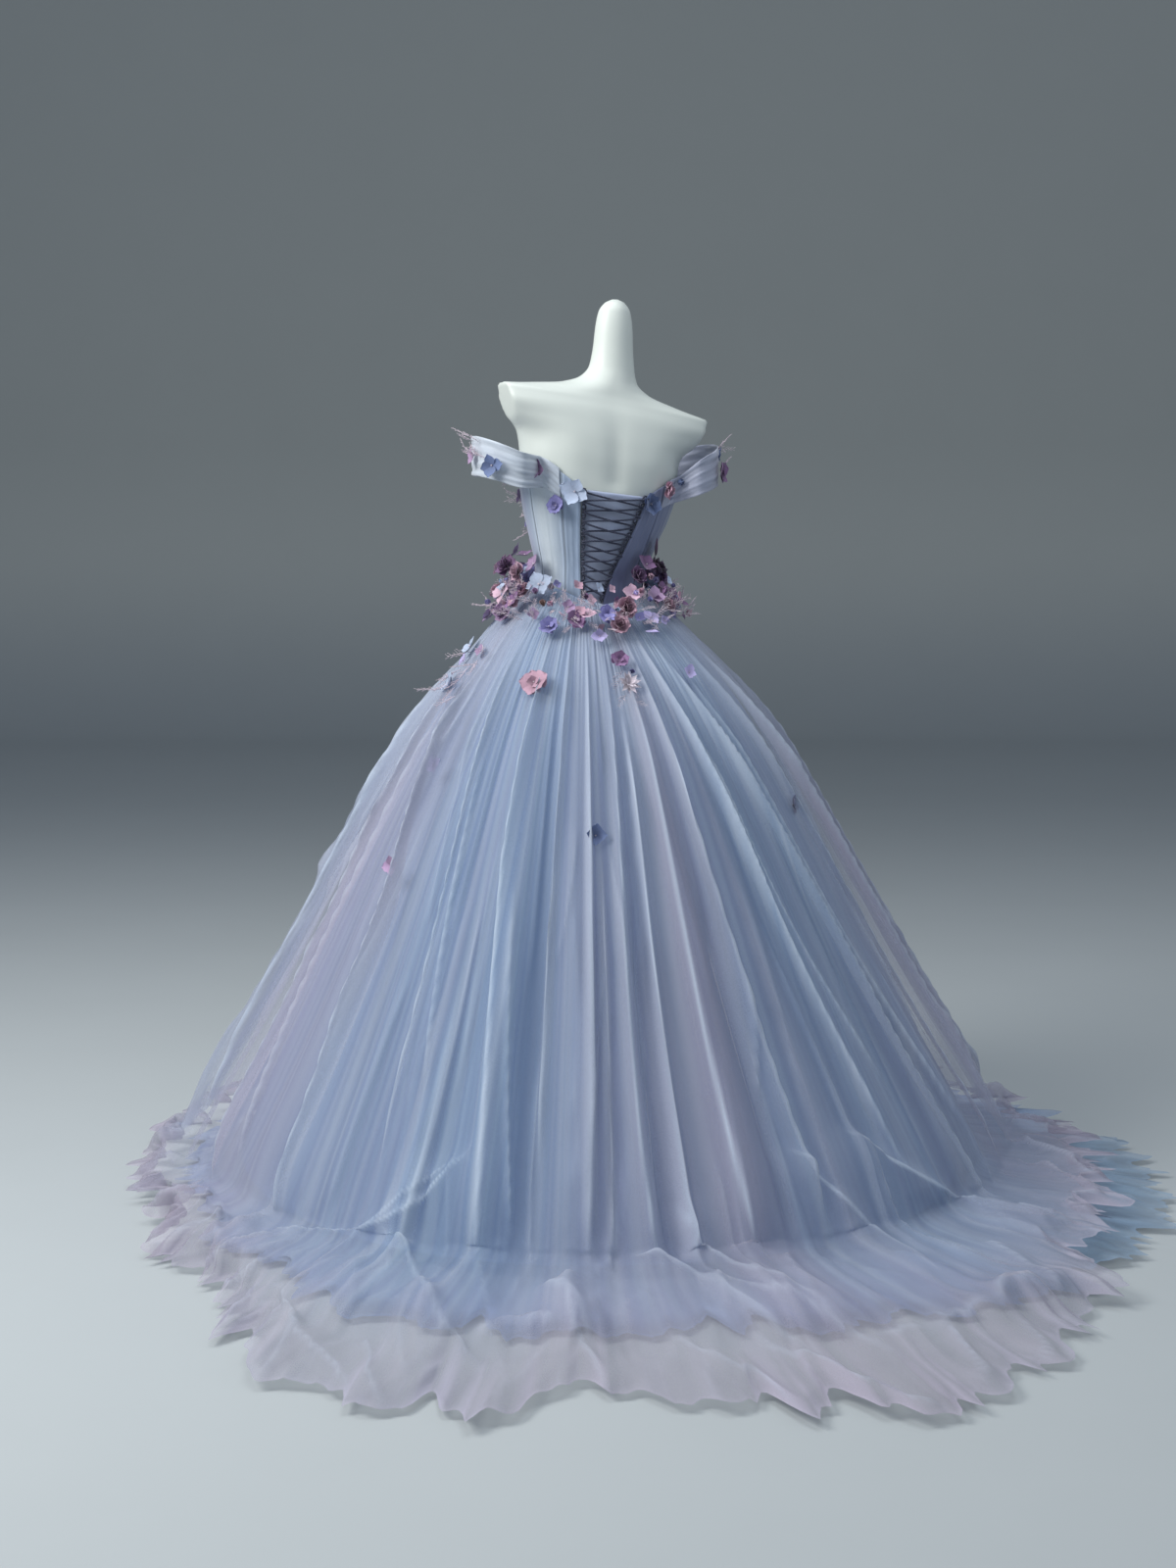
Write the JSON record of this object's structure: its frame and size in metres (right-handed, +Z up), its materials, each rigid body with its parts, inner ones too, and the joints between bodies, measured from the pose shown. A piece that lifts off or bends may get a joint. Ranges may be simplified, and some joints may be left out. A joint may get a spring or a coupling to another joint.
{
  "type": "ball gown on dress form",
  "caption": "Off-the-shoulder ball gown with a boned, back-laced bodice, layered tulle skirt, train and cloth-flower trim, on a limbless dress form with a stand.",
  "frame": {"origin": "centre of the stand base's underside, on the floor", "axes": "+Z up, the gown's front faces -Y and its laced back and train +Y, the wearer's left is +X"},
  "size_m": [1.8657, 2.1773, 1.59],
  "materials": {
    "form_white": "smooth matt white",
    "stand_steel": "brushed",
    "bodice_tulle": "sheer tulle over satin with boning channels",
    "panel_satin": "soft satin",
    "lace_cord": "twisted satin cord",
    "tulle_outer": "sheer lilac tulle",
    "tulle_middle": "sheer periwinkle tulle",
    "underskirt": "dense blue tulle",
    "cloth_flowers": "cut cloth petals and feathery sprigs"
  },
  "bodies": {
    "root": {"blossom_neck_blue": "cloth_flowers", "blossom_neck_bud": "cloth_flowers", "blossom_neck_mauve": "cloth_flowers", "blossom_neck_pale": "cloth_flowers", "blossom_neck_rose": "cloth_flowers", "blossom_neck_violet": "cloth_flowers", "blossom_skirt_blue": "cloth_flowers", "blossom_skirt_faint": "cloth_flowers", "blossom_skirt_lilac": "cloth_flowers", "blossom_skirt_mauve": "cloth_flowers", "blossom_skirt_pink": "cloth_flowers", "blossom_skirt_plum": "cloth_flowers", "bodice_back_left": "bodice_tulle", "bodice_back_right": "bodice_tulle", "bodice_centre_front": "bodice_tulle", "bodice_side_back_left": "bodice_tulle", "bodice_side_back_right": "bodice_tulle", "bodice_side_front_left": "bodice_tulle", "bodice_side_front_right": "bodice_tulle", "bodice_side_left": "bodice_tulle", "bodice_side_right": "bodice_tulle", "dress_form": "form_white", "lace_over": "lace_cord", "lace_under": "lace_cord", "loops_left": "lace_cord", "loops_right": "lace_cord", "modesty_panel": "panel_satin", "skirt_middle_back": "tulle_middle", "skirt_middle_front": "tulle_middle", "skirt_middle_side_left": "tulle_middle", "skirt_middle_side_right": "tulle_middle", "skirt_outer_back_left": "tulle_outer", "skirt_outer_back_train": "tulle_outer", "skirt_outer_front_left": "tulle_outer", "skirt_outer_front_right": "tulle_outer", "skirt_outer_side_left": "tulle_outer", "skirt_outer_side_right": "tulle_outer", "skirt_under_back": "underskirt", "skirt_under_front": "underskirt", "skirt_under_side_left": "underskirt", "skirt_under_side_right": "underskirt", "spray_bodice_front_left": "cloth_flowers", "spray_hip_left": "cloth_flowers", "spray_strap_left": "cloth_flowers", "spray_strap_right": "cloth_flowers", "spray_tail": "cloth_flowers", "spray_waist_back_left": "cloth_flowers", "spray_waist_back_right": "cloth_flowers", "spray_waist_front_left": "cloth_flowers", "spray_waist_front_right": "cloth_flowers", "spray_waist_side_left": "cloth_flowers", "spray_waist_side_right": "cloth_flowers", "stand_base": "stand_steel", "stand_pole": "stand_steel", "strap_left": "bodice_tulle", "strap_right": "bodice_tulle"}
  },
  "joints": []
}
